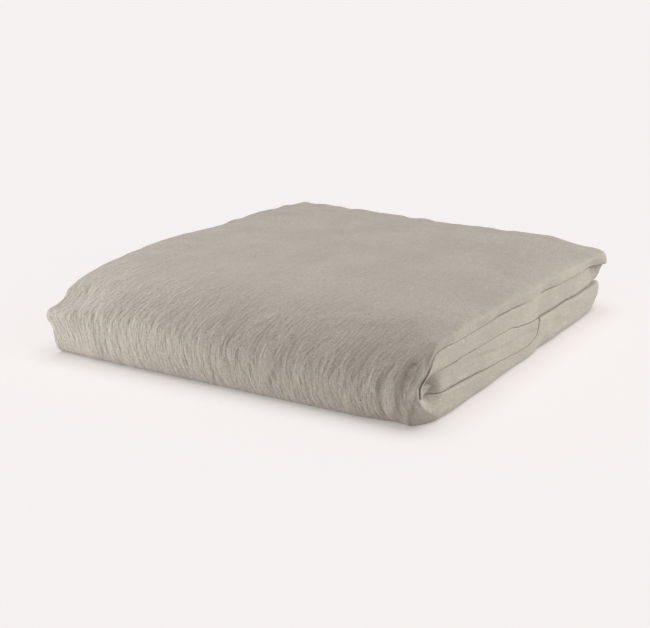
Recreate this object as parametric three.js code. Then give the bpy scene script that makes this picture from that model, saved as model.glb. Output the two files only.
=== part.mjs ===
// A plain flat bed sheet, folded for the shelf, as one closed body of cloth. Millimetres, +Z up, with the
// front fold towards -Y and the rolled side towards +X.
//
// The sheet is folded in half and in half again across its width, which gives a strip of four plies with a
// rolled right side and its hems on the left. That strip is folded in half and in half again along its
// length, which gives four passes, one on the other: bottom, lower, upper and top. The last fold wraps the
// front.
import * as THREE from 'three';

// Driving dimensions
const WIDTH = 340; // hemmed left side to rolled right side
const DEPTH = 386; // nose of the front fold to the back
const CLOTH = 1.8; // one modelled ply, which stands for four thin plies of the real sheet
const AIR = 1.1; // between one pass and the next
const PLIES = 4; // in the strip
const LEFT = -WIDTH / 2;
const RIGHT = WIDTH / 2;
const NOSE = -DEPTH / 2; // foremost point of the front fold
const BACK = DEPTH / 2;

// A table's rows, as objects with the names of its columns.
const table = (columns, ...rows) =>
  rows.map((row) => Object.fromEntries(row.map((value, index) => [columns[index], value])));

// Height of the surface over each pass in the body of the stack
const INTERIOR = { overBottom: 14, overLower: 30, overUpper: 46, overTop: 64 };

// The rolled side, at distances behind the nose. The over columns are heights of the surface over each pass,
// and the rest say how far that pass stops short of the side. The lower pass does so after its first half.
const ROLLED_SIDE = table(
  ['at', 'overBottom', 'overLower', 'overUpper', 'overTop', 'bottom', 'lower', 'upper', 'top'],
  [0, 16, 33, 46, 60, 1, 4, 4, 2],
  [20, 16, 33, 46, 60.5, -1, 3.5, 3, 2],
  [53, 13, 33, 48, 62.5, -4, 1.5, 1, 1],
  [87, 12, 33, 49, 64, -4, 1, 1, 1],
  [142, 9.5, 30, 46, 63, -3.5, 0, 1, 0.5],
  [204, 9, 27.5, 43, 61.5, -4, 4, 1, 0],
  [226, 9.5, 27, 42, 60.5, -4, 72, 1, 0],
  [246, 18, 22.5, 41.5, 60, -4, 72, 1, 0],
  [340, 17.5, 20.5, 39.5, 57, -3, 73, 0.5, -1],
  [386, 17, 19.5, 38, 55, -3, 74, 0, -3],
);

// The hemmed side, in the same way. Only the top of the stack is uneven there.
const HEMMED_SIDE = table(
  ['at', 'overTop', 'bottom', 'lower', 'upper', 'top'],
  [0, 62, -1, 14, 16, -1],
  [60, 64, 1, 7, 5, 0],
  [136, 69.5, 2, 6.5, 5.5, 1],
  [216, 68, 3, 5.5, 6, 2],
  [330, 68, 5, 4.5, 7.5, 3],
  [386, 65, 6, 4, 8, 3],
);
const SIDE_BLEND = { rolled: 56, hemmed: 110, rim: 4 }; // width over which a side's heights take over
const HEM_STEP = { first: 6, second: 2.5 }; // how far the two hemmed plies stop short of the fold beside them
const CROWN = { rise: 4, x: -60, y: -20, acrossX: 130, acrossY: 150 }; // soft swelling of the top

// The front fold. Its reach is how far behind the nose it starts, below and above. A power under 1 makes its
// side view squarer than an ellipse.
const WRAP = {
  left: { noseHeight: 37, thickness: 9.5, power: 1.05 },
  right: { noseHeight: 24, thickness: 8, power: 1 },
  reachBelow: 14,
  reachAbove: 84,
  powerBelow: 0.5,
  powerInside: 0.85,
};

// Rounding of its right end, in plan
const CORNER = { width: 22, atFloor: 8, above: 1, blendHeight: 16, power: 1.5 };

// The fold inside it, where the lower and upper passes meet
const TUCK = {
  nose: 35,
  reachBelow: 60,
  reachAbove: 88,
  noseHeight: 30,
  thickness: 13,
  power: 0.85,
  eye: 0.8, // opening inside it
};

// The fold at the back, where the upper and top passes meet. Its upper half leans further back.
const BACK_FOLD = { reach: 15, thickness: 13, lean: 7 };
const HEM_SHORT = { bottom: 6, lower: 9 }; // how far the two hemmed ends stop short of the back

// How much further back than BACK the stack reaches, at distances from the left side
const BACK_LINE = table(['at', 'further'], [0, 9], [146, 0], [246, -8], [312, -6], [340, -3]);

// Shape of the rolls on the two sides of the strip: how far they reach, in their own half heights, and their
// power, which works as in the front fold
const OUTER_ROLL = { reach: 1.25, power: 0.85 };
const INNER_ROLL = { reach: 1.15, power: 1 };
const PLY_IN_FOLD = 0.19; // a ply takes at most this share of the strip, which is pressed thin where it folds
const ROLL_GAP = 0.6; // between the outer roll and the one nested in it

// Steps of the mesh: shares of a ply from end to end, distances behind the nose, and counts
const PLY_SHARES = [0, 0.05, 0.2, 0.55, 0.83, 0.89, 0.945, 1];
const STATIONS = [125, 165, 204, 214, 225, 235, 248, 290, 335];
const STEPS = { outerRoll: 7, innerRoll: 4, wrapBelow: 4, wrapAbove: 6, backFold: 6, tuck: 8 };

const lerp = (a, b, share) => a + (b - a) * share;
const smooth = (value, from, to) => THREE.MathUtils.smoothstep(value, from, to);
const bell = (distance, width) => Math.exp(-((distance / width) ** 2));
const evenShares = (count) => Array.from({ length: count + 1 }, (unused, step) => step / count);

// A column of a table at some distance, eased between the rows.
function read(rows, column, distance) {
  const next = rows.findIndex((row) => row.at >= distance);
  if (next === 0) return rows[0][column];
  if (next < 0) return rows.at(-1)[column];
  const before = rows[next - 1];
  const after = rows[next];
  return lerp(before[column], after[column], smooth(distance, before.at, after.at));
}

// Height of one of the surfaces that part the passes, or of the floor, at a place.
function heightAt(surface, x, y) {
  if (surface === 'floor') return 0;
  const inside = INTERIOR[surface];
  const crown = CROWN.rise * (inside / INTERIOR.overTop);
  const body = inside + crown * bell(x - CROWN.x, CROWN.acrossX) * bell(y - CROWN.y, CROWN.acrossY);
  const nearRight = smooth(x, RIGHT - SIDE_BLEND.rolled, RIGHT - SIDE_BLEND.rim);
  const nearLeft = smooth(-x, -LEFT - SIDE_BLEND.hemmed, -LEFT - SIDE_BLEND.rim);
  const towardsRight = lerp(body, read(ROLLED_SIDE, surface, y - NOSE), nearRight);
  if (surface !== 'overTop') return towardsRight;
  return lerp(towardsRight, read(HEMMED_SIDE, surface, y - NOSE), nearLeft);
}

// Where the front fold stands, across the width and from the floor up: its right end is rounded in plan, most
// of all at the floor.
function noseAt(x, z) {
  const round = lerp(CORNER.atFloor, CORNER.above, smooth(z, 0, CORNER.blendHeight));
  return NOSE + round * smooth(x, RIGHT - CORNER.width, RIGHT + SIDE_BLEND.rim) ** CORNER.power;
}

// A fold seen from the side turns on an ellipse in each quarter. turn goes from -1, below, through 0, the
// nose, to 1, above, where it ends at the point end.
function foldPoint(turn, nose, noseHeight, end, power = 1) {
  const angle = (turn * Math.PI) / 2;
  const z = noseHeight + Math.abs(end.z - noseHeight) * Math.sign(turn) * Math.abs(Math.sin(angle)) ** power;
  return { y: end.y - (end.y - nose(z)) * Math.cos(angle) ** power, z };
}

const backAt = (x) => BACK + read(BACK_LINE, 'further', x - LEFT);
const backFoldStart = (x) => backAt(x) - BACK_FOLD.reach;
const wrapStartBelow = (x) => noseAt(x, 0) + WRAP.reachBelow;
const wrapStartAbove = () => NOSE + WRAP.reachAbove;
const tuckStartBelow = () => NOSE + TUCK.reachBelow;
const tuckStartAbove = () => NOSE + TUCK.reachAbove;
const bottomEnd = (x) => backAt(x) - HEM_SHORT.bottom;
const lowerEnd = (x) => backAt(x) - HEM_SHORT.lower;

// The walls of a leg of the strip are the two surfaces that it lies between: for a share of the leg and a
// place across the width, an inner and an outer point in the Y-Z plane. Inner is the side that the front fold
// wraps.
function passWalls(innerSurface, outerSurface, from, to, firstStations = []) {
  const backwards = to(0) > from(0);
  const stations = [...firstStations, ...STATIONS].map((station) => NOSE + station);
  if (!backwards) stations.reverse();
  const walls = (share, x) => {
    const places = [from(x), ...stations, to(x)];
    const along = share * (places.length - 1);
    const place = Math.min(Math.floor(along), places.length - 2);
    const y = lerp(places[place], places[place + 1], along - place);
    return { inner: { y, z: heightAt(innerSurface, x, y) }, outer: { y, z: heightAt(outerSurface, x, y) } };
  };
  return { walls, shares: evenShares(stations.length + 1) };
}

function wrapWalls(share, x) {
  const turn = share * 2 - 1;
  const isBelow = turn < 0;
  const y = isBelow ? wrapStartBelow(x) : wrapStartAbove();
  const across = smooth(x, LEFT, RIGHT);
  const between = (key) => lerp(WRAP.left[key], WRAP.right[key], across);
  const innerEnd = { y, z: heightAt(isBelow ? 'overBottom' : 'overUpper', x, y) };
  const outerEnd = { y, z: heightAt(isBelow ? 'floor' : 'overTop', x, y) };
  const innerNose = (z) => noseAt(x, z) + between('thickness');
  const outerNose = (z) => noseAt(x, z);
  const noseHeight = between('noseHeight');
  return {
    inner: foldPoint(turn, innerNose, noseHeight, innerEnd, isBelow ? WRAP.powerBelow : WRAP.powerInside),
    outer: foldPoint(turn, outerNose, noseHeight, outerEnd, isBelow ? WRAP.powerBelow : between('power')),
  };
}

function backFoldWalls(share, x) {
  const start = backFoldStart(x);
  const angle = Math.PI * (0.5 - share);
  const core = heightAt('overUpper', x, start);
  const end = heightAt(share < 0.5 ? 'overTop' : 'overLower', x, start);
  const lean = Math.max(0, Math.sin(angle)) * BACK_FOLD.lean;
  const reach = (BACK_FOLD.reach + lean) * Math.cos(angle);
  return {
    inner: { y: start + reach * (1 - BACK_FOLD.thickness / BACK_FOLD.reach), z: core },
    outer: { y: start + reach, z: core + Math.abs(end - core) * Math.sin(angle) },
  };
}

function tuckWalls(share, x) {
  const turn = 1 - share * 2;
  const y = turn > 0 ? tuckStartAbove() : tuckStartBelow();
  const end = { y, z: heightAt(turn > 0 ? 'overUpper' : 'overBottom', x, y) };
  const core = heightAt('overLower', x, y);
  const nose = NOSE + TUCK.nose;
  return {
    inner: foldPoint(turn, () => nose, TUCK.noseHeight, end, TUCK.power),
    outer: foldPoint(turn, () => nose + TUCK.thickness, core, { y, z: core + TUCK.eye }),
  };
}

const wrapShares = [
  ...evenShares(STEPS.wrapBelow).map((share) => share / 2),
  ...evenShares(STEPS.wrapAbove).slice(1).map((share) => (1 + share) / 2),
];

// The legs in the order in which the cloth runs. from and to name the passes that a leg joins, and air is
// what it leaves open on its outer side, at its start and its end.
const LEGS = [
  {
    ...passWalls('overBottom', 'floor', bottomEnd, wrapStartBelow, [TUCK.reachBelow]),
    from: 'bottom', to: 'bottom', air: [0, 0],
  },
  { walls: wrapWalls, shares: wrapShares, from: 'bottom', to: 'top', air: [0, 0] },
  {
    ...passWalls('overUpper', 'overTop', wrapStartAbove, backFoldStart),
    from: 'top', to: 'top', air: [0, 0],
  },
  { walls: backFoldWalls, shares: evenShares(STEPS.backFold), from: 'top', to: 'upper', air: [0, AIR / 2] },
  {
    ...passWalls('overUpper', 'overLower', backFoldStart, tuckStartAbove),
    from: 'upper', to: 'upper', air: [AIR / 2, AIR / 2],
  },
  { walls: tuckWalls, shares: evenShares(STEPS.tuck), from: 'upper', to: 'lower', air: [AIR / 2, AIR / 2] },
  {
    ...passWalls('overBottom', 'overLower', tuckStartBelow, lowerEnd),
    from: 'lower', to: 'lower', air: [AIR / 2, AIR / 2],
  },
];

// Middle line of the cloth through one cross-section of the strip, as { x, t } points with t from the inner
// wall. It runs in along the first hemmed ply, round the roll, back along the outside, and in and out once
// more.
function sectionLine(thickness, cloth, left, right, outerAir) {
  const pitch = (thickness - AIR / 2 - outerAir - cloth) / (PLIES - 1);
  const height = (ply) => AIR / 2 + cloth / 2 + ply * pitch;
  const points = [];
  const ply = (index, from, to) => {
    for (const share of PLY_SHARES) points.push({ x: lerp(from, to, share), t: height(index) });
  };
  const roll = (fromPly, toPly, tip, reach, power, count) => {
    const half = (height(toPly) - height(fromPly)) / 2;
    const middle = (height(toPly) + height(fromPly)) / 2;
    for (let step = 1; step < count; step++) {
      const angle = Math.PI * (step / count - 0.5);
      const up = Math.sign(angle) * Math.abs(Math.sin(angle)) ** power;
      points.push({ x: tip - reach * (1 - Math.cos(angle) ** power), t: middle + half * up });
    }
  };
  const outerTip = right - cloth / 2;
  const outerReach = ((PLIES - 1) / 2) * pitch * OUTER_ROLL.reach;
  const innerReach = (pitch / 2) * INNER_ROLL.reach;
  const innerTip = outerTip - Math.max(cloth + ROLL_GAP, pitch * INNER_ROLL.reach);
  const leftTip = left + cloth / 2;
  ply(0, left + HEM_STEP.first, outerTip - outerReach);
  roll(0, 3, outerTip, outerReach, OUTER_ROLL.power, STEPS.outerRoll);
  ply(3, outerTip - outerReach, leftTip + innerReach);
  roll(3, 2, leftTip, -innerReach, INNER_ROLL.power, STEPS.innerRoll);
  ply(2, leftTip + innerReach, innerTip - innerReach);
  roll(2, 1, innerTip, innerReach, INNER_ROLL.power, STEPS.innerRoll);
  ply(1, innerTip - innerReach, left + HEM_STEP.second);
  return points;
}

// The closed outline of a section: the middle line moved half a ply to one side, and back on the other.
function sectionOutline(line, cloth) {
  const side = (sign) =>
    line.map((point, index) => {
      const before = line[Math.max(index - 1, 0)];
      const after = line[Math.min(index + 1, line.length - 1)];
      const along = new THREE.Vector2(after.x - before.x, after.t - before.t).normalize();
      return { x: point.x - (sign * along.y * cloth) / 2, t: point.t + (sign * along.x * cloth) / 2 };
    });
  return [...side(1), ...side(-1).reverse()];
}

// One ring of the body: the section of the strip at a share of a leg, set between that leg's walls.
function ring(leg, share) {
  const { inner, outer } = leg.walls(share, 0);
  const thickness = Math.hypot(outer.y - inner.y, outer.z - inner.z);
  const cloth = Math.min(CLOTH, thickness * PLY_IN_FOLD);
  const behind = outer.y - NOSE;
  const short = (side) => lerp(read(side, leg.from, behind), read(side, leg.to, behind), share);
  const outerAir = lerp(...leg.air, share);
  const line = sectionLine(thickness, cloth, LEFT + short(HEMMED_SIDE), RIGHT - short(ROLLED_SIDE), outerAir);
  return sectionOutline(line, cloth).map(({ x, t }) => {
    const walls = leg.walls(share, x);
    const y = lerp(walls.inner.y, walls.outer.y, t / thickness);
    const z = lerp(walls.inner.z, walls.outer.z, t / thickness);
    return new THREE.Vector3(x, y, Math.max(0, z));
  });
}

function foldedSheet() {
  const rings = LEGS.flatMap((leg, index) =>
    leg.shares.slice(index === 0 ? 0 : 1).map((share) => ring(leg, share)),
  );
  const around = rings[0].length;
  const triangles = [];
  const quad = (a, b, c, d) => triangles.push(a, b, c, a, c, d);
  for (let row = 0; row < rings.length - 1; row++) {
    for (let column = 0; column < around; column++) {
      const here = row * around;
      const next = (column + 1) % around;
      quad(here + column, here + next, here + around + next, here + around + column);
    }
  }
  // The two cut ends are closed across the thickness of the cloth.
  const end = (row, isLast) => {
    for (let column = 0; column < around / 2 - 1; column++) {
      const across = around - 1 - column;
      const corners = [column, column + 1, across - 1, across].map((corner) => row * around + corner);
      quad(...(isLast ? corners : corners.reverse()));
    }
  };
  end(0, false);
  end(rings.length - 1, true);
  const geometry = new THREE.BufferGeometry().setFromPoints(rings.flat());
  geometry.setIndex(triangles);
  geometry.computeVertexNormals();
  geometry.computeBoundingBox();
  const { min, max } = geometry.boundingBox;
  return geometry.translate(-(min.x + max.x) / 2, -(min.y + max.y) / 2, -min.z);
}

const linen = new THREE.MeshStandardMaterial({ color: 0xb2a898, roughness: 0.92, metalness: 0 });

const sheet = new THREE.Mesh(foldedSheet(), linen);
sheet.name = 'sheet';

const foldedFlatSheet = new THREE.Group();
foldedFlatSheet.add(sheet);

export default foldedFlatSheet;
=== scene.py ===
# A folded flat bed sheet of washed linen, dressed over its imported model. The cloth is worked out in
# millimetres and made in metres.
import math

import bpy
import numpy as np
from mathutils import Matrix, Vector


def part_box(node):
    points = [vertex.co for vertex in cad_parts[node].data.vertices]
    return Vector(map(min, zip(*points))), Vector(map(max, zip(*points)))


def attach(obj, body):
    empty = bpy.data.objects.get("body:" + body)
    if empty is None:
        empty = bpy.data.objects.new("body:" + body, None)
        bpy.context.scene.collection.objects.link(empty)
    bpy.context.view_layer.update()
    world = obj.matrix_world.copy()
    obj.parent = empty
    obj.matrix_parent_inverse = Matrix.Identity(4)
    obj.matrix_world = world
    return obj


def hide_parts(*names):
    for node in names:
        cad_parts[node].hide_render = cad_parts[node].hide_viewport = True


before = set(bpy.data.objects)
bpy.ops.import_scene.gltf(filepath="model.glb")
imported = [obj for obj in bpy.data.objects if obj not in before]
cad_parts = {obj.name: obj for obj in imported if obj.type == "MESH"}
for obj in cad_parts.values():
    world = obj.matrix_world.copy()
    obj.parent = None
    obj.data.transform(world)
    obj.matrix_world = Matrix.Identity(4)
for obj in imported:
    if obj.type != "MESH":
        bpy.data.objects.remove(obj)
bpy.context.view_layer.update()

# The stack. The sheet is folded in half twice across its width, into a strip of four plies with a rolled
# right side and its hems on the left, and that strip in half twice along its length, into four passes:
# bottom, lower, upper and top. The tables give the surfaces between the passes and how far each pass
# reaches, in millimetres.
MM = 0.001
WIDTH = 340
DEPTH = 386


def table(columns, *rows):
    """A table's columns by name."""
    return dict(zip(columns.split(), np.array(rows, float).T))


# Heights of the surfaces over each pass on the rolled side, and how far each pass stops short of it, at
# distances behind the nose
ROLLED_SIDE = table(
    "at over_bottom over_lower over_upper over_top bottom lower upper top",
    (0, 24.5, 36, 50, 60, 1, 1, 1, 2),
    (14, 22.2, 37, 51.5, 61, 0, 1, 1, 1),
    (21, 21.2, 37.5, 51.5, 61.5, -1, 0, -0.5, 0.5),
    (47, 18.8, 38, 51.5, 62.5, -2, 0, -1.2, 0.5),
    (62, 17.8, 37.8, 51.6, 63, -2, -0.6, -1.2, -1.2),
    (90, 16.4, 37.3, 52, 63.3, -2, -1, -1.4, -1.4),
    (112, 15.4, 36.8, 52, 63.2, -1.8, -1.4, -1.6, -1.2),
    (130, 14.9, 36.5, 51.5, 63, -1.6, -1.6, -1.8, -0.4),
    (157, 12.8, 35.6, 50.3, 62.7, -1.6, -1.7, -1.8, -0.4),
    (176, 10.6, 32.4, 49.6, 62.3, -1.5, -1.5, -1.6, -1),
    (190, 10.2, 30.2, 49.2, 62, -1.4, -1.2, -1.2, -1.6),
    (202, 11, 28.9, 48.9, 61.5, -1.4, -1.2, -0.8, -1.5),
    (210, 13, 28.6, 48.7, 61, -1.4, -1.2, -0.6, -1.2),
    (215, 17, 28.4, 48.6, 61, -1.4, -1.1, -0.3, -1),
    (219, 25.5, 28.3, 48.5, 61, -1.4, -0.8, 0, -0.6),
    (220.5, 28, 28.2, 48.4, 61, -1.4, 72, 0, 0),
    (240, 27.8, 27.9, 47.9, 60.5, -2, 72, 0, 0.5),
    (266, 27.4, 27.6, 47.2, 59.5, -2, 72, 0, -1),
    (340, 26, 26.1, 45.6, 57.5, -2, 73, 0.5, -2),
    (366, 25.4, 25.8, 44.2, 56.5, -1, 73, 3.5, -4),
    (386, 24.8, 25.4, 42.6, 55, 2.5, 74, 5, -4),
)
HEMMED_SIDE = table(
    "at over_top bottom lower upper top",
    (0, 62, -1, 14, 16, -1),
    (60, 64, 1, 7, 5, 0),
    (136, 69.5, 2, 6.5, 5.5, 1),
    (216, 68, 3, 5.5, 6, 2),
    (330, 68, 5, 4.5, 7.5, 3),
    (386, 65, 6, 4, 8, 3),
)
INTERIOR = {"over_bottom": 14, "over_lower": 30, "over_upper": 46, "over_top": 64}
SIDE_BLEND = {"rolled": 56, "hemmed": 110, "rim": 4}
DOME = {"rise": 4, "from_right": 230, "behind": 173, "across_x": 130, "across_y": 150}
BACK_LINE = table("at further", (0, 9), (146, 0), (246, -8), (312, -6), (340, -3))

low_corner, high_corner = (np.array(corner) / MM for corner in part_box("sheet"))
RIGHT = high_corner[0] + ROLLED_SIDE["bottom"].min()
LEFT = RIGHT - WIDTH
NOSE = low_corner[1]
BACK = NOSE + DEPTH


def lerp(start, end, share):
    return start + (end - start) * share


def smooth(value, start, end):
    share = np.clip((value - start) / (end - start), 0, 1)
    return share * share * (3 - 2 * share)


def bell(distance, width):
    return np.exp(-((distance / width) ** 2))


def read(rows, column, at):
    """A column of a table at some distances, eased between the rows."""
    stops, values = rows["at"], rows[column]
    after = np.clip(np.searchsorted(stops, at), 1, len(stops) - 1)
    return lerp(values[after - 1], values[after], smooth(at, stops[after - 1], stops[after]))


def height_at(surface, x, y):
    if surface == "floor":
        return np.zeros(np.broadcast(x, y).shape)
    dome = DOME["rise"] * INTERIOR[surface] / INTERIOR["over_top"]
    dome = dome * bell(RIGHT - DOME["from_right"] - x, DOME["across_x"])
    body = INTERIOR[surface] + dome * bell(y - NOSE - DOME["behind"], DOME["across_y"])
    near_right = smooth(x, RIGHT - SIDE_BLEND["rolled"], RIGHT - SIDE_BLEND["rim"])
    near_left = smooth(-x, -LEFT - SIDE_BLEND["hemmed"], -LEFT - SIDE_BLEND["rim"])
    towards_right = lerp(body, read(ROLLED_SIDE, surface, y - NOSE), near_right)
    if surface != "over_top":
        return towards_right
    return lerp(towards_right, read(HEMMED_SIDE, surface, y - NOSE), near_left)


def back_at(x):
    return BACK + read(BACK_LINE, "further", x - LEFT)


def pass_walls(inner_surface, outer_surface, start, end):
    def walls(share, x):
        y = lerp(start(x), end(x), share)
        return (y, height_at(inner_surface, x, y)), (y, height_at(outer_surface, x, y))

    return walls


# The front fold. It wraps the whole stack from under it to the top, higher and rounder on the left. Its
# two ends are given from under it (-1) through the nose (0) to the top (1): how far behind the nose and
# how high its two walls are. On the right it closes to a thin lip, on the left it stands out low down.
WRAP = {
    "nose_height": (37, 24),
    "thickness": (9.5, 8),
    "power": (1.05, 1),
    "reach_below": 14,
    "reach_above": 84,
    "power_below": 0.66,
    "power_inside": 0.85,
}
CORNER = {"width": 60, "at_floor": 9, "above": 0, "blend_height": 18, "power": 1.6}
LIP = table(
    "at outer_behind outer_z inner_behind inner_z",
    (-1, 22, 0, 22, 21),
    (-0.75, 8, 1, 16, 22),
    (-0.5, 4, 6, 10, 22.8),
    (-0.25, 1.6, 14, 6.4, 24),
    (0, 0, 25, 4.8, 27),
    (0.15, 0, 33, 4.6, 32),
    (0.3, 5.5, 41, 9.4, 38.5),
    (0.42, 13.5, 47, 17, 44),
    (0.52, 20.5, 53, 23, 49.8),
    (0.64, 31, 57.5, 31, 51.6),
    (0.8, 52, 60.8, 52, 51.8),
    (1, 84, 63, 84, 52),
)
LEFT_NUB = table(
    "at outer_behind outer_z inner_behind inner_z",
    (-1, 14, 0, 14, 14),
    (-0.75, 7.4, 3, 11.5, 17),
    (-0.5, 4.6, 10.5, 10.5, 22),
    (-0.25, 2.6, 22, 9.5, 28),
    (0, -1, 34, 9, 32),
    (0.1, -0.6, 37.6, 10, 34),
    (0.2, 2.2, 39.8, 13, 35),
    (0.3, 8, 41.2, 19, 36),
    (0.42, 19, 46.4, 27, 38.5),
    (0.5, 22.8, 51, 32, 40),
    (0.6, 31, 55.4, 38, 42),
    (0.75, 46, 59.4, 50, 44.5),
    (0.88, 65, 62.8, 66, 46),
    (1, 84, 65, 84, 47),
)
FRONT_ENDS = {"lip": 26, "lip_rim": 3, "nub": 60, "nub_rim": 6}


def curve(rows, column, at):
    """A column of a table as one flowing line through its rows."""
    stops, values = rows["at"], rows[column]
    slopes = np.gradient(values, stops)
    after = np.clip(np.searchsorted(stops, at), 1, len(stops) - 1)
    width = stops[after] - stops[after - 1]
    share = (at - stops[after - 1]) / width
    left, right = values[after - 1], values[after]
    swing = share * (1 - share) * ((1 - share) * (slopes[after - 1] * width - (right - left))
                                   - share * (slopes[after] * width - (right - left)))
    return lerp(left, right, share) + swing


def nose_at(x, z):
    """Where the front fold stands. Its right end is rounded in plan, most of all at the floor."""
    rounding = lerp(CORNER["at_floor"], CORNER["above"], smooth(z, 0, CORNER["blend_height"]))
    return NOSE + rounding * np.clip((x - RIGHT) / CORNER["width"] + 1, 0, 1) ** CORNER["power"]


def fold_point(turn, nose, nose_height, end, power):
    """A fold seen from the side: turn goes from -1 below through 0, the nose, to 1 above, where it ends."""
    angle = turn * np.pi / 2
    z = nose_height + np.abs(end[1] - nose_height) * np.sign(turn) * np.abs(np.sin(angle)) ** power
    return end[0] - (end[0] - nose(z)) * np.abs(np.cos(angle)) ** power, z


def wrap_start_below(x):
    return nose_at(x, 0) + WRAP["reach_below"]


def wrap_start_above(x):
    return NOSE + WRAP["reach_above"] + 0 * x


def front_wall(turn, x, face):
    """The outer or inner wall of the front fold, with its lip on the right and its nub on the left."""
    below = turn < 0
    is_outer = face == "outer"
    end_y = np.where(below, wrap_start_below(x), wrap_start_above(x))
    under, over = ("floor", "over_top") if is_outer else ("over_bottom", "over_upper")
    end = end_y, np.where(below, height_at(under, x, end_y), height_at(over, x, end_y))
    across = smooth(x, LEFT, RIGHT)
    inset = 0 if is_outer else lerp(*WRAP["thickness"], across)
    power_above = lerp(*WRAP["power"], across) if is_outer else WRAP["power_inside"]
    power = np.where(below, WRAP["power_below"], power_above)
    y, z = fold_point(turn, lambda z: nose_at(x, z) + inset, lerp(*WRAP["nose_height"], across), end, power)
    between_ends = 1 - smooth(np.abs(turn), 0.75, 1)
    for rows, share in (
        (LIP, smooth(x, RIGHT - FRONT_ENDS["lip"], RIGHT - FRONT_ENDS["lip_rim"])),
        (LEFT_NUB, smooth(-x, -LEFT - FRONT_ENDS["nub"], -LEFT - FRONT_ENDS["nub_rim"])),
    ):
        end_z = curve(rows, face + "_z", turn)
        end_y = curve(rows, face + "_behind", turn) + nose_at(x, 99)
        y = lerp(y, end_y, share * between_ends)
        z = lerp(z, end_z, share * between_ends)
    return y, z


def wrap_walls(share, x):
    turn = share * 2 - 1
    return front_wall(turn, x, "inner"), front_wall(turn, x, "outer")


# The folds behind it. The back fold joins the top pass to the upper one and leans out over it. The inner
# fold is tucked in behind the front fold and joins the upper pass to the lower one. The hems end the two
# lower passes.
BACK_FOLD = {"reach": 15, "thickness": 13, "lean": 7}
TUCK = {"gap": 0.05, "reach_below": 60, "reach_above": 88, "thickness": 13, "eye": 0.8}
HEM_SHORT = {"bottom": 6, "lower": 9}


def back_fold_start(x):
    return back_at(x) - BACK_FOLD["reach"]


def back_fold_walls(share, x):
    start = back_fold_start(x)
    angle = np.pi * (0.5 - share)
    core = height_at("over_upper", x, start)
    end = np.where(share < 0.5, height_at("over_top", x, start), height_at("over_lower", x, start))
    lean = np.maximum(0, np.sin(angle)) * BACK_FOLD["lean"]
    reach = (BACK_FOLD["reach"] + lean) * np.cos(angle)
    inner_reach = reach * (1 - BACK_FOLD["thickness"] / BACK_FOLD["reach"])
    return (start + inner_reach, core), (start + reach, core + np.abs(end - core) * np.sin(angle))


def tuck_start_below(x):
    return NOSE + TUCK["reach_below"] + 0 * x


def tuck_start_above(x):
    return NOSE + TUCK["reach_above"] + 0 * x


def tuck_walls(share, x):
    turn = 1 - share * 2
    start = np.where(turn > 0, tuck_start_above(x), tuck_start_below(x))
    core = height_at("over_lower", x, start)
    # The wall keeps to the front fold's, and then to the top of the bottom pass
    y, z = front_wall(np.maximum(turn, np.minimum(turn, 0) * 2).clip(-1, 1), x, "inner")
    y = lerp(y, start, np.clip(np.where(turn > 0, turn * 5 - 4, -turn * 2 - 1), 0, 1))
    z = np.where(turn < -0.5, height_at("over_bottom", x, y), z)
    y = y + TUCK["gap"] * (1 - np.abs(turn))
    nose = NOSE + lerp(*WRAP["thickness"], smooth(x, LEFT, RIGHT)) + TUCK["thickness"]
    return (y, z), fold_point(turn, lambda z: nose, core, (start, core + TUCK["eye"]), 1)


def bottom_end(x):
    return back_at(x) - HEM_SHORT["bottom"]


def lower_end(x):
    return back_at(x) - HEM_SHORT["lower"]


# The strip. Its four plies lie on one another with a little air between the passes: the cloth runs out
# along the lowest ply, round the rolled side, back over the top one and to and fro between them.
# INNER_ROLL is the reach of the roll inside the strip, in half pitches of the plies, and PLY_IN_FOLD the
# most that a ply takes of a fold's thickness.
CLOTH = 1.3
AIR = 0.14
HALF_AIR = AIR / 2
PLIES = 4
HEM_STEP = {"first": 6, "second": 2.5}
INNER_ROLL = 1.15
PLY_IN_FOLD = 0.19
ROLL_GAP = 0.6

# Reach of the rolls' corners under and over each surface. The sharper they are, the finer is the line
# between two rolls. The top's own corner is long and low.
ROLL_CORNERS = table(
    "at floor over_bottom over_lower over_upper over_top top_up",
    (0, 4, 0.6, 0.4, 0.4, 0.6, 0.4),
    (24, 3.5, 0.3, 0.3, 0.3, 2, 1.2),
    (45, 3, 1, 0.3, 0.6, 12, 4),
    (62, 3, 1.8, 0.3, 0.3, 22, 7),
    (90, 3, 2.2, 0.3, 0.3, 26, 8),
    (112, 3, 1.2, 0.3, 1, 26, 8),
    (130, 3, 0.4, 0.3, 1.8, 26, 8),
    (165, 3, 0.3, 0.3, 1.4, 26, 8),
    (190, 3, 0.3, 0.9, 0.3, 26, 8),
    (217, 3, 0.3, 0.5, 0.4, 26, 8),
    (226, 3, 0.9, 1.6, 1, 26, 8),
    (240, 3, 1, 1.5, 1.6, 26, 8),
    (300, 3, 0.7, 1, 1, 26, 8),
    (350, 4, 1, 1.5, 2, 24, 8),
    (386, 11, 3, 3, 2.4, 14, 7),
)

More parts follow.
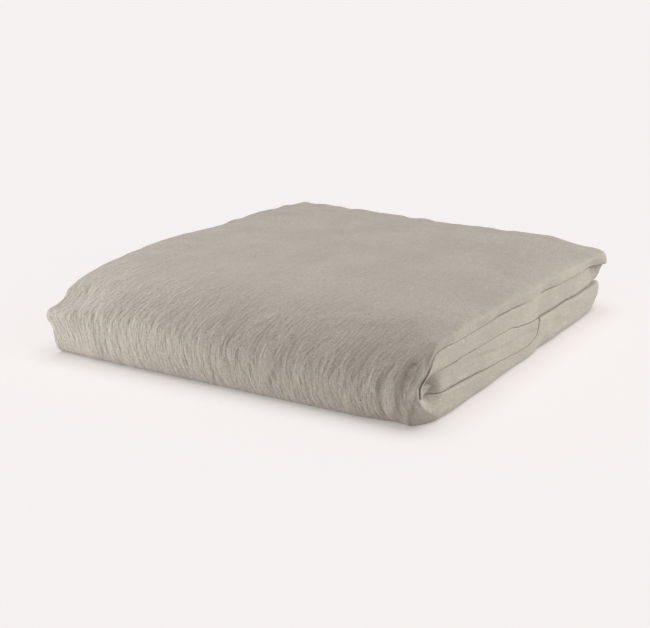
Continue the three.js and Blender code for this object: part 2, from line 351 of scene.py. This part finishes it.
# The legs in the order in which the cloth runs: their walls, the passes that they join, the air on their
# outer side at each end, their rows of points, and how many of those rows a hidden face skips
LEGS = [
    dict(walls=pass_walls("over_bottom", "floor", bottom_end, wrap_start_below),
         joins=("bottom", "bottom"), inner=("over_bottom", "over_bottom"), outer=("floor", "floor"),
         air=(0, 0), rows=96, hidden_step=4, shown=False, hooked=True),
    dict(walls=wrap_walls, joins=("bottom", "top"),
         inner=("over_bottom", "over_upper"), outer=("floor", "over_top"),
         air=(0, 0), rows=72, hidden_step=4, shown=True, hooked=False),
    dict(walls=pass_walls("over_upper", "over_top", wrap_start_above, back_fold_start),
         joins=("top", "top"), inner=("over_upper", "over_upper"), outer=("over_top", "over_top"),
         air=(0, 0), rows=112, hidden_step=4, shown=True, hooked=False),
    dict(walls=back_fold_walls, joins=("top", "upper"),
         inner=("over_upper", "over_upper"), outer=("over_top", "over_lower"),
         air=(0, HALF_AIR), rows=16, hidden_step=2, shown=True, hooked=False),
    dict(walls=pass_walls("over_upper", "over_lower", back_fold_start, tuck_start_above),
         joins=("upper", "upper"), inner=("over_upper", "over_upper"), outer=("over_lower", "over_lower"),
         air=(HALF_AIR, HALF_AIR), rows=72, hidden_step=4, shown=False, hooked=False),
    dict(walls=tuck_walls, joins=("upper", "lower"),
         inner=("over_upper", "over_bottom"), outer=("over_lower", "over_lower"),
         air=(HALF_AIR, HALF_AIR), rows=64, hidden_step=4, shown=False, hooked=False),
    dict(walls=pass_walls("over_bottom", "over_lower", tuck_start_below, lower_end),
         joins=("lower", "lower"), inner=("over_bottom", "over_bottom"), outer=("over_lower", "over_lower"),
         air=(HALF_AIR, HALF_AIR), rows=112, hidden_step=4, shown=False, hooked=True),
]

# The parts of the strip's section in the order in which the cloth runs: their points, and the steps
# between points that their outer and inner face keep, the outer one where it is hidden too
SECTION = [
    dict(part="ply 0", points=24, outer=1, outer_hidden=1, inner=1),
    dict(part="rolled side", points=32, outer=1, outer_hidden=1, inner=2),
    dict(part="ply 3", points=216, outer=1, outer_hidden=8, inner=8),
    dict(part="left fold", points=12, outer=1, outer_hidden=1, inner=2),
    dict(part="ply 2", points=16, outer=1, outer_hidden=1, inner=1),
    dict(part="inner roll", points=8, outer=1, outer_hidden=1, inner=1),
    dict(part="ply 1", points=24, outer=1, outer_hidden=1, inner=1),
]


def section_line(thickness, cloth, left, right, outer_air, corners):
    """Middle line of the cloth through the strip, row by row: places across, and heights from the inner
    wall. corners are the reaches of the rolled side's two corners, across and up."""
    pitch = (thickness - HALF_AIR - outer_air - cloth) / (PLIES - 1)
    pieces = []

    def ply_height(ply):
        return HALF_AIR + cloth / 2 + ply * pitch

    def ply(index, start, end, points):
        share = np.arange(points) / points
        pieces.append((lerp(start, end, share), ply_height(index) + 0 * share))

    def roll(first, last, tip, reach, points):
        angle = np.pi * (np.arange(points) / points - 0.5)
        half = (ply_height(last) - ply_height(first)) / 2
        middle = (ply_height(last) + ply_height(first)) / 2
        pieces.append((tip - reach * (1 - np.cos(angle)), middle + half * np.sin(angle)))

    def rolled_side(tip, points):
        corner_points = points // 4
        angle = np.pi / 2 * np.arange(corner_points) / corner_points
        (first_across, first_up), (last_across, last_up) = corners
        low, high = ply_height(0), ply_height(PLIES - 1)
        squeeze = np.minimum(1, (high - low) / (first_up + last_up) / 1.05)
        low, high = low + first_up * squeeze, high - last_up * squeeze
        flat = np.arange(points - 2 * corner_points) / (points - 2 * corner_points)
        pieces.append((tip - first_across * (1 - np.sin(angle)), low - first_up * squeeze * np.cos(angle)))
        pieces.append((tip + 0 * flat * low, lerp(low, high, flat)))
        pieces.append((tip - last_across * (1 - np.cos(angle)), high + last_up * squeeze * np.sin(angle)))

    points = {piece["part"]: piece["points"] for piece in SECTION}
    outer_tip = right - cloth / 2
    inner_reach = pitch / 2 * INNER_ROLL
    inner_tip = outer_tip - np.maximum(cloth + ROLL_GAP, pitch * INNER_ROLL)
    left_tip = left + cloth / 2
    ply(0, left + HEM_STEP["first"], outer_tip - corners[0][0], points["ply 0"])
    rolled_side(outer_tip, points["rolled side"])
    ply(3, outer_tip - corners[1][0], left_tip + inner_reach, points["ply 3"])
    roll(3, 2, left_tip, -inner_reach, points["left fold"])
    ply(2, left_tip + inner_reach, inner_tip - inner_reach, points["ply 2"])
    roll(2, 1, inner_tip, inner_reach, points["inner roll"])
    ply(1, inner_tip - inner_reach, left + HEM_STEP["second"], points["ply 1"] + 1)
    return [np.concatenate(parts, axis=1) for parts in zip(*pieces)]


# The creases. Washed linen that is folded by hand has fine gathers across its folds, and soft ones that
# run on over the flat of the stack. Its edge at the left and the back is uneven.

# Noise seed, cells across and along, height, and the width of narrow valleys or None for waves both ways
GATHERS = (
    (3, 9, 34, 0.34, None),
    (4, 13, 24, 0.34, 0.2),
    (5, 4.4, 11, 0.3, None),
    (6, 6.5, 13, 0.26, 0.22),
    (12, 6, 6.5, 0.22, None),
)
STREAKS = ((8, 8, 70, 0.16, None), (9, 14, 90, 0.1, 0.2))
SWELLINGS = ((10, 70, 80, 0.8, None), (11, 30, 36, 0.35, None))
EDGE_WAVES = ((14, 15, 15, 0.9, None),)
WANDERING = ((1, 60, 55, 8, None), (2, 16, 18, 2.5, None))
GATHER_STRENGTH = {"seed": 7, "across": 30, "along": 26, "middle": 0.8, "more": 0.5}
NOISE_CELLS = 128

# Where each kind starts or ends, from the start of the front or from the middle of the stack to the left
CREASE_PLACES = {
    "front_starts": (2, 16),
    "front_ends": (60, 170),
    "top_starts": (60, 150),
    "left_edge": (60, 150),
    "back_edge": (360, 440),
    "swellings_start": (10, 50),
}


def noise(seed, across, along):
    """Smooth noise from -1 to 1 at places given in its own cells."""
    values = np.random.default_rng(seed).uniform(-1, 1, (NOISE_CELLS, NOISE_CELLS))
    column, row = np.floor(across).astype(int), np.floor(along).astype(int)
    right, up = smooth(across - column, 0, 1), smooth(along - row, 0, 1)

    def value_at(step_across, step_along):
        return values[(column + step_across) % NOISE_CELLS, (row + step_along) % NOISE_CELLS]

    lower, upper = (lerp(value_at(0, step), value_at(1, step), right) for step in (0, 1))
    return lerp(lower, upper, up)


def crease_sum(kinds, across, run):
    """Heights of kinds of crease, added up."""
    total = 0
    for seed, cell_across, cell_along, height, valley_width in kinds:
        waves = noise(seed, across / cell_across, run / cell_along)
        total = total + height * (waves if valley_width is None else -bell(waves, valley_width))
    return total


def crease_height(x, run):
    """Height of the creases at a place across the sheet and a distance up the front and along the top."""
    up_front = smooth(run, *CREASE_PLACES["front_starts"])
    on_front = up_front * (1 - smooth(run, *CREASE_PLACES["front_ends"]))
    on_top = smooth(run, *CREASE_PLACES["top_starts"])
    at_edge = smooth(-x, *CREASE_PLACES["left_edge"]) + smooth(run, *CREASE_PLACES["back_edge"])
    cell_across, cell_along = GATHER_STRENGTH["across"], GATHER_STRENGTH["along"]
    strength = noise(GATHER_STRENGTH["seed"], x / cell_across, run / cell_along)
    strength = GATHER_STRENGTH["middle"] + GATHER_STRENGTH["more"] * strength
    across = x + crease_sum(WANDERING, x, run)
    swell = crease_sum(SWELLINGS, x, run) + at_edge.clip(0, 1) * crease_sum(EDGE_WAVES, x, run)
    swell = swell * smooth(run, *CREASE_PLACES["swellings_start"])
    gathers = crease_sum(GATHERS, across, run) * on_front * strength
    return gathers + crease_sum(STREAKS, across, run) * on_top + swell


def leg_creases(leg, x, run):
    """Creases of a leg's outer face. Only the outer ply of the front, the top and the back fold has them."""
    if not leg["shown"]:
        return 0 * x
    before, right_side, _, left_side = (piece["points"] for piece in SECTION[:4])
    end = sum(piece["points"] for piece in SECTION[:4])
    ramp = np.zeros(x.shape[1])
    ramp[before:end] = 1
    ramp[before:before + right_side] = smooth(np.arange(right_side), 0, right_side)
    ramp[end - left_side:end] = 1 - smooth(np.arange(left_side), 0, left_side)
    return crease_height(x, run) * ramp


# The marks of handling, most of them near the right end of the front: hollows and swellings, given by
# where they are, how far they reach and the push at their middle, and the near corner of the lowest fold
# pressed flat.
DENTS = [
    {"at": (163, 5, 40), "reach": (6, 11, 8), "push": (-2, 10, -2)},
    {"at": (173, 20, 26), "reach": (10, 8, 8), "push": (-13, 0, 0)},
    {"at": (169, 1, 31), "reach": (3, 3, 8), "push": (1, -1.2, 0)},
    {"at": (168, 9, 43), "reach": (3, 4, 6), "push": (1, -1, 0.5)},
    {"at": (-172, 3, 33), "reach": (9, 12, 7), "push": (-3, 0, 0)},
    {"at": (173, 374, 45), "reach": (8, 12, 5), "push": (4, 0, -1)},
    {"at": (151, 0, 26), "reach": (4, 12, 13), "push": (0, -1.3, 0)},
    {"at": (142, 0, 22), "reach": (3, 12, 16), "push": (0, 1, 0)},
    {"at": (134, 0, 30), "reach": (4, 12, 12), "push": (0, -0.9, 0)},
]
PRESSED = {"at": (168, 0, 25), "out": (0.78, -0.43, -0.45), "share": 0.85}

# A shallow groove along the lower roll, down into the hook where it ends, and soft bulges along the side
GROOVE = table(
    "at z deep",
    (60, 33, 0),
    (80, 31, 0.7),
    (111, 27.8, 0.9),
    (130, 24.4, 0.8),
    (170, 23.7, 0.6),
    (195, 21.8, 0.9),
    (210, 20, 0.7),
    (218, 19, 0),
)
GROOVE_WIDTH = 1.1
BULGES = {"seed": 13, "along": 28, "up": 8, "height": 0.9, "from_side": (8, 4)}


def handle(points):
    """Moves points by the dents, the pressed corner, the groove and the bulges."""
    for dent in DENTS:
        away = (points - (0, NOSE, 0) - dent["at"]) / dent["reach"]
        points = points + np.exp(-(away ** 2).sum(axis=-1, keepdims=True)) * dent["push"]
    beyond = ((points - (0, NOSE, 0) - PRESSED["at"]) * PRESSED["out"]).sum(axis=-1, keepdims=True)
    level = np.array(PRESSED["out"]) * (1, 1, 0)
    points = points - np.maximum(beyond, 0) * PRESSED["share"] * level / (level ** 2).sum()
    behind = points[..., 1] - NOSE
    deep = read(GROOVE, "deep", behind) * bell(points[..., 2] - read(GROOVE, "z", behind), GROOVE_WIDTH)
    bulges = noise(BULGES["seed"], behind / BULGES["along"], points[..., 2] / BULGES["up"])
    bulges = BULGES["height"] * bulges
    starts, full = BULGES["from_side"]
    points[..., 0] += (bulges - deep) * smooth(points[..., 0], RIGHT - starts, RIGHT - full)
    return points


# The cloth itself: one closed skin, made on a lattice of rows along the sheet and columns round its
# section. Where no one sees it, it keeps only some of the points.
HOOK = {"behind": 215, "width": 12, "rows": 8}


def read_corner(wall, way, behind):
    return read(ROLL_CORNERS, "top_up" if wall == "over_top" and way else wall, behind)


def row_shares(leg):
    """Places of a leg's rows along it, closer together where the lower pass ends on the rolled side."""
    share = np.linspace(0, 1, 401)
    behind = leg["walls"](share[:, None], np.zeros((1, 1)))[1][0][:, 0] - NOSE
    near_hook = HOOK["rows"] * bell(behind - HOOK["behind"], HOOK["width"])
    density = 1 + near_hook * leg["hooked"]
    reached = np.concatenate([[0], np.cumsum(density[1:])])
    return np.interp(np.arange(leg["rows"]) / leg["rows"], reached / reached[-1], share)


def fold_rows():
    """The lattice's rows: outer and inner faces, their places in the cloth, and where the front starts."""
    outer_faces, inner_faces, around, along = [], [], [], []
    run = 0
    front_start = 0
    for index, leg in enumerate(LEGS):
        if leg["walls"] is wrap_walls:
            front_start = run
        share = row_shares(leg)[:, None]
        if index == len(LEGS) - 1:
            share = np.append(share, [[1]], axis=0)
        zero = np.zeros_like(share)
        inner, outer = leg["walls"](share, zero)
        thickness = np.hypot(outer[0] - inner[0], outer[1] - inner[1])
        cloth = np.minimum(CLOTH, thickness * PLY_IN_FOLD)
        behind = outer[0] - NOSE
        first, last = leg["joins"]
        short_left = lerp(read(HEMMED_SIDE, first, behind), read(HEMMED_SIDE, last, behind), share)
        short_right = lerp(read(ROLLED_SIDE, first, behind), read(ROLLED_SIDE, last, behind), share)
        air = lerp(*leg["air"], share)
        corners = [
            [lerp(read_corner(start, way, behind), read_corner(end, way, behind), share) for way in (0, 1)]
            for start, end in (leg["inner"], leg["outer"])
        ]
        x, height = section_line(thickness, cloth, LEFT + short_left, RIGHT - short_right, air, corners)
        ends = leg["walls"](np.array([[1.0]]), np.zeros((1, 1)))[1]
        steps = np.hypot(np.diff(np.append(outer[0], ends[0])), np.diff(np.append(outer[1], ends[1])))
        distance = run + np.concatenate([[0], np.cumsum(steps)])[: len(share)]
        run += steps.sum()
        slope_x = np.gradient(x, axis=1)
        slope_t = np.gradient(height, axis=1)
        length = np.hypot(slope_x, slope_t) + 1e-9
        out_x, out_t = slope_t / length, -slope_x / length
        crease = leg_creases(leg, x, distance[:, None] - front_start)
        faces = []
        for offset in (cloth / 2 + crease, -cloth / 2):
            at_x = x + out_x * offset
            at_t = height + out_t * offset
            inner_wall, outer_wall = leg["walls"](share, at_x)
            depth = at_t / thickness
            y = lerp(inner_wall[0], outer_wall[0], depth)
            z = lerp(inner_wall[1], outer_wall[1], depth)
            faces.append(handle(np.stack([at_x, y, np.maximum(z, 0)], axis=2)))
        outer_faces.append(faces[0])
        inner_faces.append(faces[1])
        around.append(np.cumsum(np.pad(np.hypot(np.diff(x), np.diff(height)), ((0, 0), (1, 0))), axis=1))
        along.append(np.broadcast_to(distance[:, None], x.shape))
    return [np.concatenate(rows) for rows in (outer_faces, inner_faces, around, along)] + [front_start]


def sheet_mesh():
    outer, inner, around, along, front_start = fold_rows()
    rows, points = outer.shape[:2]
    columns = 2 * points
    lattice = np.concatenate([inner, outer[:, ::-1]], axis=1)
    cloth_place = np.concatenate([
        np.stack([around, along], axis=2),
        np.stack([around[:, ::-1], along[:, ::-1]], axis=2),
    ], axis=1)

    # Blocks of cells: first and last row, first and last column, and the two steps
    blocks = []
    row = 0
    for leg in LEGS:
        column = 0
        for piece in SECTION:
            last = column + piece["points"]
            step = leg["hidden_step"]
            blocks.append((row, row + leg["rows"], column, last, step, piece["inner"]))
            is_side = piece["part"] in ("rolled side", "left fold")
            is_fine = is_side or (piece["part"] == "ply 3" and leg["shown"])
            outer_step = piece["outer"] if leg["shown"] else piece["outer_hidden"]
            if piece["part"] == "ply 3" and leg["joins"] == ("top", "top"):
                outer_step = 2
            blocks.append((
                row, row + leg["rows"], columns - 1 - last, columns - 1 - column,
                1 if is_fine else step, outer_step,
            ))
            column = last
        row += leg["rows"]
    # The hemmed edge of ply 0, between the last column and the first, and of ply 1, between the two faces
    row = 0
    for leg in LEGS:
        blocks.append((row, row + leg["rows"], points - 1, points, leg["hidden_step"], 1))
        blocks.append((row, row + leg["rows"], columns - 1, columns, leg["hidden_step"], 1))
        row += leg["rows"]

    kept = np.zeros((rows, columns), bool)
    for top, bottom, start, end, row_step, column_step in blocks:
        kept_columns = np.arange(start, end + 1, column_step) % columns
        kept[np.ix_(range(top, bottom + 1, row_step), kept_columns)] = True
    number = np.cumsum(kept).reshape(kept.shape) - 1

    def along_row(at, start, end):
        span = range(start, end) if end > start else range(start, end, -1)
        return [number[at, column % columns] for column in span if kept[at, column % columns]]

    def along_column(at, start, end):
        at = at % columns
        span = range(start, end) if end > start else range(start, end, -1)
        return [number[row, at] for row in span if kept[row, at]]

    faces = []
    for top, bottom, start, end, row_step, column_step in blocks:
        for first in range(top, bottom, row_step):
            next_row = first + row_step
            for column in range(start, end, column_step):
                following = column + column_step
                faces.append(
                    along_row(first, column, following)
                    + along_column(following, first, next_row)
                    + along_row(next_row, following, column)
                    + along_column(column, next_row, first)
                )
    # The cut ends
    for at, is_last in ((0, False), (rows - 1, True)):
        column = 0
        for piece in SECTION:
            for start in range(column, column + piece["points"], piece["inner"]):
                end = start + piece["inner"]
                face = along_row(at, start, end + 1) + along_row(at, columns - 1 - end, columns - start)
                faces.append(face if is_last else face[::-1])
            column += piece["points"]
    mesh = bpy.data.meshes.new("folded_sheet")
    mesh.from_pydata((lattice[kept] * MM).tolist(), [], faces)
    corner_points = np.empty(len(mesh.loops), np.int32)
    mesh.loops.foreach_get("vertex_index", corner_points)
    layer = mesh.uv_layers.new(name="cloth")
    layer.uv.foreach_set("vector", (cloth_place[kept] * MM)[corner_points].astype(np.float32).ravel())
    mesh.polygons.foreach_set("use_smooth", np.ones(len(mesh.polygons), bool))
    mesh.update()
    return mesh, front_start


sheet_skin, front_start = sheet_mesh()
sheet = bpy.data.objects.new("folded_sheet", sheet_skin)
bpy.context.scene.collection.objects.link(sheet)
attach(sheet, "root")
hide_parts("sheet")


# The linen. Flax thread is uneven: it has thick places, and lighter and darker ones, so the plain weave is
# never quite regular. Washing leaves it matt, softly creased and a little fuzzy.
class Shade:
    """A number that changes over the cloth. Arithmetic on it adds Math nodes."""

    def __init__(self, socket):
        self.socket = socket

    def __add__(self, other):
        return add_node("Math", {"operation": "ADD"}, {0: self, 1: other})

    def __sub__(self, other):
        return add_node("Math", {"operation": "SUBTRACT"}, {0: self, 1: other})

    def __rsub__(self, other):
        return add_node("Math", {"operation": "SUBTRACT"}, {0: other, 1: self})

    def __mul__(self, other):
        return add_node("Math", {"operation": "MULTIPLY"}, {0: self, 1: other})

    __radd__ = __add__
    __rmul__ = __mul__


def add_node(kind, settings, values, output=0):
    node = linen.node_tree.nodes.new("ShaderNode" + kind)
    for name, setting in settings.items():
        setattr(node, name, setting)
    for name, value in values.items():
        if isinstance(value, Shade):
            linen.node_tree.links.new(value.socket, node.inputs[name])
        else:
            node.inputs[name].default_value = value
    return Shade(node.outputs[output])


def rise(value, start, end):
    """Eased step from 0 to 1."""
    return add_node("MapRange", {"interpolation_type": "SMOOTHSTEP"},
                    {"Value": value, "From Min": start, "From Max": end})


def uneven(around, along, detail=1.0, shift=0.0):
    """Noise from 0 to 1 in cells of a size round the strip and a size along it, in millimetres."""
    cells = add_node("VectorMath", {"operation": "MULTIPLY_ADD"},
                     {0: place, 1: (1 / (around * MM), 1 / (along * MM), 1), 2: (shift, shift, 0)})
    return add_node("TexNoise", {"noise_dimensions": "2D"}, {"Vector": cells, "Scale": 1, "Detail": detail})


def blend(share, colour, other):
    return add_node("Mix", {"data_type": "RGBA"}, {0: share, 6: colour, 7: other}, output=2)


# Distance between threads in millimetres, and the flax's colours
THREAD = 0.55
FLAX = (0.34, 0.304, 0.258, 1)
FLAX_LIGHT = (0.47, 0.415, 0.35, 1)
FLAX_DARK = (0.255, 0.215, 0.175, 1)
HUSK = (0.07, 0.05, 0.035, 1)

linen = bpy.data.materials.new("washed_linen")
linen.use_nodes = True
shader = linen.node_tree.nodes["Principled BSDF"]
place = add_node("UVMap", {"uv_map": "cloth"}, {})
around = add_node("SeparateXYZ", {}, {0: place}, output=0)
along = add_node("SeparateXYZ", {}, {0: place}, output=1)

# Threads, with their thick places. The rolled side is drawn smooth.
slub_along = rise(uneven(1.3, 24, 2, 3), 0.56, 0.8)
slub_around = rise(uneven(24, 1.3, 2, 7), 0.57, 0.8)
turn = math.pi / (THREAD * MM)
wander = 0.9 * uneven(6, 6, 1, 11)
over = add_node("Math", {"operation": "SINE"}, {0: around * turn + wander})
under = add_node("Math", {"operation": "SINE"}, {0: along * turn + wander})
weave = over * under
rolled = rise(around, 0.31, 0.32) * (1 - rise(around, 0.345, 0.365))
melange = (uneven(0.9, 2.8, 3, 13) + uneven(2.8, 0.9, 3, 17) - 1) * (1 - 0.45 * rolled)

# Creases pressed in by the folding: deepest up the front, faint on the top
front = front_start * MM
gathered = rise(along, front, front + 0.02) * (1 - rise(along, front + 0.08, front + 0.19))
crease_share = 0.22 + 0.78 * gathered
pulled = uneven(3, 11, 3, 19)
pinched = add_node("Math", {"operation": "PINGPONG"}, {0: uneven(5.5, 17, 2, 23), 1: 0.5})
puckered = uneven(9, 12, 4, 29)

cloudy = rise(uneven(40, 60, 3, 31), 0.25, 0.75)
tone = blend(0.3 * cloudy + 0.5 * slub_along + 0.42 * slub_around, FLAX, FLAX_LIGHT)
tone = blend(rise(melange, -0.25, 0.3) * 0.62, tone, FLAX_DARK)
husks = add_node("TexVoronoi", {"voronoi_dimensions": "2D"}, {"Vector": place, "Scale": 9})
tone = blend(1 - rise(husks, 0.003, 0.007), tone, HUSK)
linen.node_tree.links.new(tone.socket, shader.inputs["Base Color"])
linen.node_tree.links.new((0.84 + 0.12 * uneven(9, 9, 2, 37)).socket, shader.inputs["Roughness"])
shader.inputs["Specular IOR Level"].default_value = 0.25
shader.inputs["Sheen Weight"].default_value = 0.12
shader.inputs["Sheen Roughness"].default_value = 0.6

relief = 0.05 * weave + 0.09 * slub_along + 0.09 * slub_around + 0.14 * melange
relief = relief + crease_share * (1.1 * pulled + 1.1 * pinched + 0.5 * puckered) + 0.3 * puckered
bump = add_node("Bump", {}, {"Height": relief * MM, "Distance": 1, "Strength": 1})
linen.node_tree.links.new(bump.socket, shader.inputs["Normal"])
sheet.data.materials.append(linen)

# The place where it is shown: a plain pale floor that gives a little light of its own, soft light from
# both sides, a low lamp near the left end and a weak one at the far right.
FLOOR_REACH = 99

floor_mesh = bpy.data.meshes.new("floor")
floor_corners = [(x * FLOOR_REACH, y * FLOOR_REACH, 0) for x, y in ((-1, -1), (1, -1), (1, 1), (-1, 1))]
floor_mesh.from_pydata(floor_corners, [], [(0, 1, 2, 3)])
floor = bpy.data.objects.new("floor", floor_mesh)
bpy.context.scene.collection.objects.link(floor)
floor_material = bpy.data.materials.new("pale_floor")
floor_material.use_nodes = True
floor_shader = floor_material.node_tree.nodes["Principled BSDF"]
floor_shader.inputs["Base Color"].default_value = (0.872, 0.838, 0.831, 1)
floor_shader.inputs["Roughness"].default_value = 1
floor_shader.inputs["Specular IOR Level"].default_value = 0
floor_shader.inputs["Emission Color"].default_value = (1, 0.965, 0.957, 1)
floor_shader.inputs["Emission Strength"].default_value = 0.26
floor_mesh.materials.append(floor_material)

world = bpy.data.worlds.new("studio")
bpy.context.scene.world = world
world.use_nodes = True
world.node_tree.nodes["Background"].inputs["Color"].default_value = (1, 1, 1, 1)
world.node_tree.nodes["Background"].inputs["Strength"].default_value = 0.38


def add_lamp(light, name):
    lamp = bpy.data.objects.new(name, light)
    bpy.context.scene.collection.objects.link(lamp)
    return lamp


def light_only(lamp, piece):
    """Each light falls on one piece, so that the floor stays even."""
    lit = bpy.data.collections.new(f"lit_by_{lamp.name}")
    lit.objects.link(piece)
    lamp.light_linking.receiver_collection = lit


def soft_sun(name, piece, azimuth, strength, elevation=30, spread=50, colour=(1, 1, 1)):
    light = bpy.data.lights.new(name, "SUN")
    light.energy = strength
    light.color = colour
    light.angle = math.radians(spread)
    around, up = math.radians(azimuth), math.radians(elevation)
    towards = Vector((math.cos(up) * math.cos(around), math.cos(up) * math.sin(around), math.sin(up)))
    lamp = add_lamp(light, name)
    lamp.rotation_euler = towards.to_track_quat("Z", "Y").to_euler()
    light_only(lamp, piece)


soft_sun("right_light", sheet, 20, 1.08, colour=(0.97, 1.02, 1.03))
soft_sun("back_light", sheet, 60, 2.24)
soft_sun("left_light", sheet, 165, 0.56)
soft_sun("floor_light", floor, 90, 1.2, elevation=80, spread=60)


def soft_lamp(name, place, aim, power, size, colour):
    light = bpy.data.lights.new(name, "AREA")
    light.energy = power
    light.size = size
    light.color = colour
    lamp = add_lamp(light, name)
    lamp.location = place
    lamp.rotation_euler = (Vector(aim) - Vector(place)).to_track_quat("-Z", "Y").to_euler()
    light_only(lamp, sheet)


soft_lamp("left_lamp", (-0.55, -0.55, 0.15), (-0.15, -0.18, 0.03), 5.3, 0.3, (0.95, 1, 1.03))
soft_lamp("far_lamp", (0.7, 0.5, 0.3), (0.15, 0.15, 0.03), 1.9, 0.5, (1, 1, 1))

bpy.context.scene.view_settings.view_transform = "Standard"

CAMERA = Vector((514.5, -889.8, 313.7)) * MM
AIM = Vector((12.3, -60.5, 28.3)) * MM
camera_data = bpy.data.cameras.new("camera")
camera_data.lens = 66.46
camera = bpy.data.objects.new("camera", camera_data)
camera.location = CAMERA
camera.rotation_euler = (AIM - CAMERA).to_track_quat("-Z", "Y").to_euler()
bpy.context.scene.collection.objects.link(camera)
bpy.context.scene.camera = camera
